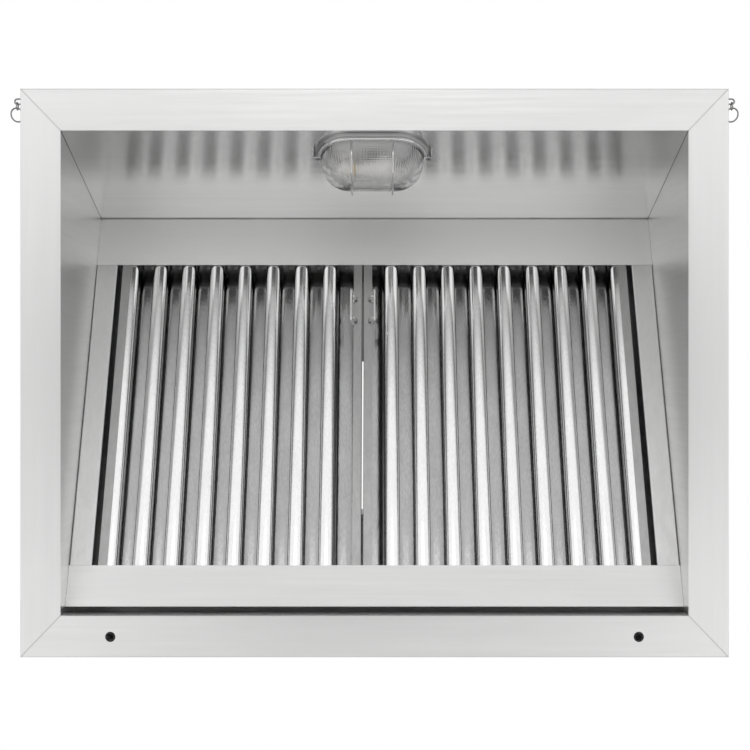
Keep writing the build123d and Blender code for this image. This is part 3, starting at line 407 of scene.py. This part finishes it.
def glassLook(name, tone, rough):
    look, tree, shader = startLook(name)
    haze = noiseOf(tree, mapped(tree, alongX, glassSet["haze"]), detail=2)
    marked(tree, shader, haze, (tone - 0.02, tone + 0.02), (rough, rough + 0.03))
    shader.inputs["Transmission Weight"].default_value = 1.0
    shader.inputs["IOR"].default_value = glassSet["index"]
    return look


looks = {
    "rimX": grainedSteel("rimGrainAcross", "rim", alongX),
    "rimY": grainedSteel("rimGrainDeep", "rim", alongY),
    "panelX": grainedSteel("panelGrainAcross", "panel", alongX),
    "panelUp": grainedSteel("panelGrainUpright", "wall", alongZ),
    "channel": grainedSteel("channelGrain", "channel", alongX),
    "drip": grainedSteel("dripGrain", "drip", alongX),
    "ledge": grainedSteel("ledgeGrain", "ledge", upTheRack),
    "railUp": grainedSteel("railGrainUp", "rail", upTheRack),
    "railAcross": grainedSteel("railGrainAcross", "rail", alongX),
    "collar": castLook("collarZinc", 0.58, 0.42, 1.0, (0.97, 1.0, 1.03)),
    "rolled": rolledSteel("rolledStrip", 0.92, 0.12),
    # the rear vanes are the caps' rolled steel at a much lower tone: painted shade for their place behind the caps
    "vane": rolledSteel("rolledVanePaintedShade", 0.44, 0.13),
    "handle": wireLook("handleWire", 0.95, 0.28),
    "hanger": wireLook("hangerWire", 0.40, 0.26),
    "chrome": wireLook("lampChrome", 0.82, 0.12),
    "screw": wireLook("screwSteel", 0.70, 0.26),
    "drain": castLook("drainPlastic", 0.030, 0.42, 0.0),
    "casting": castLook("lampCasting", 0.50, 0.45, 1.0),
    "boxCasting": castLook("boxCasting", 0.46, 0.50, 1.0),
    "seal": castLook("lampSeal", 0.040, 0.60, 0.0),
    "ceramic": castLook("lampCeramic", 0.84, 0.22, 0.0, (1.0, 0.985, 0.95)),
    "bulbGlass": castLook("bulbOpal", 0.90, 0.18, 0.0, (1.0, 0.99, 0.96)),
    "brass": castLook("bulbBrass", 0.70, 0.28, 1.0, (1.0, 0.80, 0.48)),
    "gland": castLook("glandPlastic", 0.050, 0.45, 0.0),
    "enamel": castLook("lampEnamel", 0.80, 0.30, 0.0),
    "glass": glassLook("pressedGlass", 0.98, 0.015),
}
print("stage: finishes,", len(looks))


def finishPiece(name, bm, look, body, stands=(), weighted=False):
    mesh = bpy.data.meshes.new(name)
    bm.to_mesh(mesh)
    bm.free()
    for face in mesh.polygons:
        face.use_smooth = True
    mesh.materials.append(looks[look])
    piece = bpy.data.objects.new(name, mesh)
    bpy.context.scene.collection.objects.link(piece)
    if weighted:
        flats = piece.modifiers.new("flats", "WEIGHTED_NORMAL")
        flats.keep_sharp = True
        flats.weight = 100
    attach(piece, body)
    if stands:
        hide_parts(*stands)
    return piece


def roundEdges(bm, pick, radius, segments):
    edges = [edge for edge in bm.edges if pick(edge)]
    if edges:
        bmesh.ops.bevel(bm, geom=edges, offset=radius, offset_type="OFFSET", segments=segments, profile=0.5,
                        affect="EDGES", material=-1, clamp_overlap=True)


copySet = {"merged": 0.003 * mm, "flat": radians(0.6)}


def copyOf(node):   # the node's loose triangles, merged to whole faces
    bm = bmesh.new()
    bm.from_mesh(nodes[node].data)
    bmesh.ops.remove_doubles(bm, verts=bm.verts, dist=copySet["merged"])
    bmesh.ops.dissolve_limit(bm, angle_limit=copySet["flat"], verts=bm.verts, edges=bm.edges,
                             use_dissolve_boundaries=False)
    return bm


def narrowest(edge):   # about the width of the narrower face beside the edge
    return min(2 * face.calc_area() / face.calc_perimeter() for face in edge.link_faces)


def shadeByAngle(bm, most):
    for edge in bm.edges:
        edge.smooth = edge.calc_face_angle(0) < radians(most)


foldSet = {"thin": 1.7 * mm, "least": 5 * mm, "turn": radians(30)}


def foldedSheet(node, look, bend, inside=0.5):   # a copy of a sheet with its folds rounded
    bm = copyOf(node)

    def isFold(edge, convex):
        if len(edge.link_faces) != 2 or edge.calc_length() < foldSet["least"] or edge.is_convex != convex:
            return False
        return edge.calc_face_angle(0) >= foldSet["turn"] and narrowest(edge) > foldSet["thin"]

    roundEdges(bm, lambda edge: isFold(edge, True), bend * mm, 4)
    roundEdges(bm, lambda edge: isFold(edge, False), inside * mm, 3)
    bmesh.ops.recalc_face_normals(bm, faces=bm.faces)
    shadeByAngle(bm, 35)
    return finishPiece(node + "_sheet", bm, look, bodyOf[node], (node,), weighted=True)


easeSet = {"turn": radians(50), "room": 0.9, "rounds": 2}


def easedNode(node, look, radius):   # a copy with its outer edges eased and its curves smooth
    bm = copyOf(node)

    def isEdge(edge):
        if len(edge.link_faces) != 2 or not edge.is_convex or edge.calc_face_angle(0) < easeSet["turn"]:
            return False
        return narrowest(edge) > easeSet["room"] * radius * mm

    if radius:
        roundEdges(bm, isEdge, radius * mm, easeSet["rounds"])
    bmesh.ops.recalc_face_normals(bm, faces=bm.faces)
    shadeByAngle(bm, 40)
    return finishPiece(node + "_eased", bm, look, bodyOf[node], (node,), weighted=True)


sheetLooks = {
    "rim_front": "rimX", "rim_rear_gutter": "rimX", "rim_left": "rimY", "rim_right": "rimY",
    "front_panel": "panelX", "rear_panel": "panelX", "top_panel": "panelX",
    "left_side_panel": "panelUp", "right_side_panel": "panelUp",
    "lower_filter_channel": "drip", "upper_filter_channel": "channel",
    "left_filter_ledge": "ledge", "right_filter_ledge": "ledge", "duct_collar": "collar",
}
for node, look in sheetLooks.items():
    foldedSheet(node, look, 2.4 if look in ("rimX", "rimY", "drip", "channel", "ledge") else 1.6)
print("stage: sheet metal")

filterSet = {
    "depth": 40.0, "sheet": 0.8, "arcSteps": 24,
    "cap": (10.25, 1.0, 7.0, 20.0), "vane": (15.0, 39.0, 33.0, 13.0),   # half width, crest, shoulder, leg
}


# a filter's own frame: x is world x, y runs up the rack, z points out of its face
def filterFrame(hand):
    low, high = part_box(hand + "_filter_bottom_rail")
    depth = filterSet["depth"] * mm
    foot = Vector((0, high.y - depth * abs(outRack.y), low.z))
    return placeOn(foot, across, upRack, outRack)


def vertsIn(geometry):
    return [item for item in geometry if isinstance(item, bmesh.types.BMVert)]


def troughPiece(hand, part, shape, look):   # one bent strip, repeated where the node has its strips
    half, crest, shoulder, leg = shape
    node = hand + "_filter_" + part
    frameOf = filterFrame(hand)
    back = frameOf.inverted()
    corners = [back @ vertex.co for vertex in nodes[node].data.vertices]
    start, end = min(c.y for c in corners), max(c.y for c in corners)
    places = sorted({round(c.x, 5) for c in corners if abs(c.z + leg * mm) < 0.05 * mm})
    starts = [x for i, x in enumerate(places) if i == 0 or x - places[i - 1] > 3 * filterSet["sheet"] * mm]
    sheet = filterSet["sheet"] * mm
    centres = [(left + right + sheet) / 2 for left, right in zip(starts[::2], starts[1::2])]
    bm = bmesh.new()
    steps = filterSet["arcSteps"]
    outline = [(-half, leg)]
    outline += [(-half * cos(pi * i / steps), shoulder + (crest - shoulder) * sin(pi * i / steps))
                for i in range(steps + 1)]
    outline += [(half, leg)]
    ring = [bm.verts.new((x * mm, start, -w * mm)) for x, w in outline]
    line = [bm.edges.new(pair) for pair in zip(ring, ring[1:])]
    grown = bmesh.ops.extrude_edge_only(bm, edges=line)["geom"]
    bmesh.ops.translate(bm, verts=vertsIn(grown), vec=(0, end - start, 0))
    bmesh.ops.recalc_face_normals(bm, faces=bm.faces)
    outward = 1 if crest < leg else -1
    crown = max(bm.faces, key=lambda face: outward * face.calc_center_median().z)
    if crown.normal.z * outward < 0:
        bmesh.ops.reverse_faces(bm, faces=bm.faces)
    bmesh.ops.solidify(bm, geom=bm.faces, thickness=sheet)
    one = bm.verts[:] + bm.edges[:] + bm.faces[:]
    for centre in centres[1:]:
        copy = bmesh.ops.duplicate(bm, geom=one)["geom"]
        bmesh.ops.translate(bm, verts=vertsIn(copy), vec=(centre, 0, 0))
    bmesh.ops.translate(bm, verts=vertsIn(one), vec=(centres[0], 0, 0))
    bmesh.ops.transform(bm, matrix=frameOf, verts=bm.verts)
    shadeByAngle(bm, 50)
    print("  ", node, len(centres), "strips")
    return finishPiece(node + "_strips", bm, look, bodyOf[node], (node,))


for hand in ("left", "right"):
    troughPiece(hand, "front_baffles", filterSet["cap"], "rolled")
    troughPiece(hand, "rear_baffles", filterSet["vane"], "vane")
    for part, look in (("outer_rail", "railUp"), ("inner_rail", "railUp"), ("top_rail", "railAcross"),
                       ("bottom_rail", "railAcross")):
        foldedSheet(f"{hand}_filter_{part}", look, 0.9, 0.3)
    easedNode(f"{hand}_filter_rivets", "screw", 0.45)
    easedNode(f"{hand}_handle_lugs", "railUp", 0.25)
    easedNode(f"{hand}_filter_handle", "handle", 0.0)
print("stage: filters")

# the lamp's own frame: x is world x, y runs down the front panel, z stands off the panel
lampLow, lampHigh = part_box("lamp_base")
lampMiddle = (lampLow + lampHigh) / 2
baseSet = {"baseHigh": 4.0, "seam": 0.2}
lampFrame = placeOn(lampMiddle - outPanel * (baseSet["baseHigh"] + baseSet["seam"]) / 2 * mm, across,
                    downPanel, outPanel)


def smoothLine(points, steps):   # a smooth line through the given points
    line = []
    for i in range(len(points) - 1):
        before, start = points[max(i - 1, 0)], points[i]
        end, after = points[i + 1], points[min(i + 2, len(points) - 1)]
        for k in range(steps):
            t = k / steps
            line.append(tuple(0.5 * (2 * b + (c - a) * t + (2 * a - 5 * b + 4 * c - d) * t * t
                                     + (3 * b - a - 3 * c + d) * t ** 3)
                              for a, b, c, d in zip(before, start, end, after)))
    return line + [tuple(points[-1])]


def carried(bm, line, steps, run=Vector(), turn=0.0, centre=Vector(), axis=Vector((0, 0, 1))):
    grown = bmesh.ops.spin(bm, geom=line, cent=centre, axis=axis, dvec=run / steps, angle=turn, steps=steps)
    return grown["geom_last"]


def trackPlaces(straight, steps, arcSteps):   # round a racetrack: middle x, outward x, outward y
    places = []
    for side in (1, -1):
        for k in range(steps):
            places.append((side * (straight - 2 * straight * k / steps), 0.0, side * 1.0))
        for k in range(arcSteps):
            angle = pi / 2 + pi * k / arcSteps
            places.append((-side * straight, side * cos(angle), side * sin(angle)))
    return places


# a grid wrapped round the racetrack, with a row at each (radius, height); its last column meets the first
def wrapped(bm, outline, places, ripple=None):
    columns = len(places) + 1
    grid = bmesh.ops.create_grid(bm, x_segments=len(places), y_segments=len(outline) - 1, size=1)["verts"]
    for index, vertex in enumerate(grid):
        row, column = divmod(index, columns)
        radius, high = outline[row]
        middle, outX, outY = places[column % len(places)]
        if ripple:
            cut = ripple(column, radius, high)
            radius, high = radius - cut, high - cut * globeSet["sink"]
        vertex.co = Vector((middle + outX * radius, outY * radius, high)) * mm


def closeHoles(bm):
    bmesh.ops.edgeloop_fill(bm, edges=[edge for edge in bm.edges if edge.is_boundary])


globeSet = {
    "straight": 27.0, "flange": 43.4, "foot": 5.0, "wall": 2.5, "flangeHigh": 2.0, "ease": 0.3, "root": 0.4,
    "profile": ((7, 2.6), (20, 3.1), (32, 6.0), (41, 12.0), (47, 20.5), (50, 31.0)), "profileSteps": 9,
    "flutes": 35, "waffles": 14, "pitch": 3.9, "deep": 0.9, "sink": 0.4, "perWave": 6, "step": 0.68,
    "fadeMiddle": 20.0, "fadeFoot": 3.0, "middle": 0.15, "crownSteps": 8, "merged": 0.002 * mm,
}


def pressedGlobe():   # pressed glass: upright flutes round the ends, a waffle between the bows
    part = globeSet
    edge, wall, foot, ease = (part[key] for key in ("flange", "wall", "foot", "ease"))
    top = foot + part["flangeHigh"]
    sideSteps, endSteps = part["waffles"] * part["perWave"], part["flutes"] * part["perWave"]
    places = trackPlaces(part["straight"], sideSteps, endSteps)
    outer = smoothLine([(edge - inset, high) for high, inset in part["profile"]], part["profileSteps"])
    start = outer[0][0]
    widest, crown = outer[-1]
    shares = [k / part["crownSteps"] for k in range(1, part["crownSteps"] + 1)]
    line = outer + [(widest * (1 - share) + part["middle"] * share, crown) for share in shares]
    skin = [(start - wall, foot), (edge - ease, foot), (edge, foot + ease), (edge, top - ease),
            (edge - ease, top), (start + part["root"], top)]
    for one, two in zip(line, line[1:]):
        count = max(1, round((Vector(two) - Vector(one)).length / part["step"]))
        skin += [tuple(a + (b - a) * k / count for a, b in zip(one, two)) for k in range(count)]
    inner = [(radius - wall, high - wall * (high > top)) for radius, high in outer[::3]]
    inner[-1] = (widest - wall, crown - wall)

    def wave(turns):
        return 0.5 - 0.5 * cos(2 * pi * turns)

    def ripple(column, radius, high):   # flutes all round, and the waffle along the sides
        fade = min(1.0, radius / part["fadeMiddle"]) * min(1.0, max(0.0, (high - top) / part["fadeFoot"]))
        step = column % (sideSteps + endSteps)
        cut = wave(step / part["perWave"])
        if step < sideSteps:
            cut = max(cut, wave((high - radius) / part["pitch"]))
        return part["deep"] * fade * cut

    bm = bmesh.new()
    wrapped(bm, skin + [(part["middle"], crown)], places, ripple)
    wrapped(bm, [(start - wall, foot)] + inner + [(part["middle"], crown - wall)], places)
    bmesh.ops.remove_doubles(bm, verts=bm.verts, dist=part["merged"])
    closeHoles(bm)
    bmesh.ops.recalc_face_normals(bm, faces=bm.faces)
    bmesh.ops.transform(bm, matrix=lampFrame, verts=bm.verts)
    print("   globe", len(bm.faces), "faces")
    return finishPiece("lamp_globe_pressed", bm, "glass", bodyOf["lamp_globe"],
                       ("lamp_globe",))


guardSet = {   # the section and the bows' outline are (distance from the middle line, height) in mm
    "straight": 27.0, "runSteps": 12, "arcSteps": 48, "wire": 1.25, "sides": 14, "bend": 14.0,
    "bendSteps": 10,
    "section": ((44.0, 4.2), (45.3, 4.2), (45.6, 4.5), (45.6, 8.3), (45.4, 8.8), (44.9, 9.0), (41.9, 9.0),
                (41.5, 8.7), (41.4, 8.3), (41.4, 7.3), (41.7, 7.0), (44.0, 7.0)),
    "outline": ((43.5, 8.0), (42.5, 28.0), (27.2, 52.0)),
}


def bentWire(bm, corners, bend, steps, radius, sides):   # round wire from corner to corner, bent between
    way = (corners[1] - corners[0]).normalized()
    sideways = way.orthogonal().normalized()
    upright = placeOn(corners[0], sideways.cross(way), sideways, way)
    ring = bmesh.ops.create_circle(bm, segments=sides, radius=radius, matrix=upright)["verts"]
    line = ring + list(dict.fromkeys(edge for vertex in ring for edge in vertex.link_edges))
    reached = corners[0]
    for before, corner, after in zip(corners, corners[1:], corners[2:]):
        back, ahead = (before - corner).normalized(), (after - corner).normalized()
        half = back.angle(ahead) / 2
        reach = bend * cos(half) / sin(half)
        centre = corner + (back + ahead).normalized() * bend / sin(half)
        start, end = corner + back * reach, corner + ahead * reach
        axis = (start - centre).cross(end - centre).normalized()
        line = carried(bm, line, 1, run=start - reached)
        line = carried(bm, line, steps, turn=pi - 2 * half, centre=centre, axis=axis)
        reached = end
    carried(bm, line, 1, run=corners[-1] - reached)


def lampGuard():
    part = guardSet
    bm = bmesh.new()
    places = trackPlaces(part["straight"], part["runSteps"], part["arcSteps"])
    wrapped(bm, part["section"] + part["section"][:1], places)
    bmesh.ops.remove_doubles(bm, verts=bm.verts, dist=copySet["merged"])
    bmesh.ops.transform(bm, matrix=lampFrame, verts=bm.verts)
    outline = [(-y, high) for y, high in part["outline"]] + list(part["outline"][::-1])
    for bow in (-1, 1):
        corners = [lampFrame @ (Vector((bow * part["straight"], y, high)) * mm) for y, high in outline]
        bentWire(bm, corners, part["bend"] * mm, part["bendSteps"], part["wire"] * mm, part["sides"])
    closeHoles(bm)
    bmesh.ops.recalc_face_normals(bm, faces=bm.faces)
    shadeByAngle(bm, 50)
    return finishPiece("lamp_guard_wire", bm, "chrome", bodyOf["lamp_guard"],
                       ("lamp_guard",))


pressedGlobe()
lampGuard()
print("stage: lamp")

easedSet = {   # node: look, edge radius in mm
    "lamp_base": ("casting", 0.8), "lamp_gasket": ("seal", 0.0), "lamp_clips": ("chrome", 0.5),
    "lamp_clip_screws": ("screw", 0.35), "lamp_holder": ("ceramic", 0.6), "bulb_cap": ("brass", 0.3),
    "bulb": ("bulbGlass", 0.0), "wiring_box": ("boxCasting", 0.8), "wiring_box_cover": ("boxCasting", 0.4),
    "cover_screws": ("screw", 0.5), "conduit_nipple": ("screw", 0.5), "cable_gland": ("gland", 0.6),
    "left_hanger_eye": ("hanger", 0.3), "right_hanger_eye": ("hanger", 0.3), "hanger_rivets": ("screw", 0.4),
    "rim_screws": ("screw", 0.6), "collar_screws": ("screw", 0.5), "drain_bushes": ("drain", 0.5),
    "left_hanger_link": ("hanger", 0.0), "right_hanger_link": ("hanger", 0.0),
    "left_hanger_ring": ("hanger", 0.0), "right_hanger_ring": ("hanger", 0.0),
}
for node, (look, radius) in easedSet.items():
    easedNode(node, look, radius)

trayFaces = bpy.data.objects["lamp_base_eased"].data   # the tray under the globe is enamelled white
trayFaces.materials.append(looks["enamel"])
traySet = {"inside": 2.8, "above": 1.0}   # how far in from the flange and up from the panel it shows
trayHalf = globeSet["flange"] - traySet["inside"]
for face in trayFaces.polygons:
    spot = lampFrame.inverted() @ face.center / mm
    reach = Vector((max(0.0, abs(spot.x) - globeSet["straight"]), spot.y)).length
    if reach < trayHalf and spot.z > traySet["above"]:
        face.material_index = 1
print("stage: lamp fittings, box, hangers, fasteners")
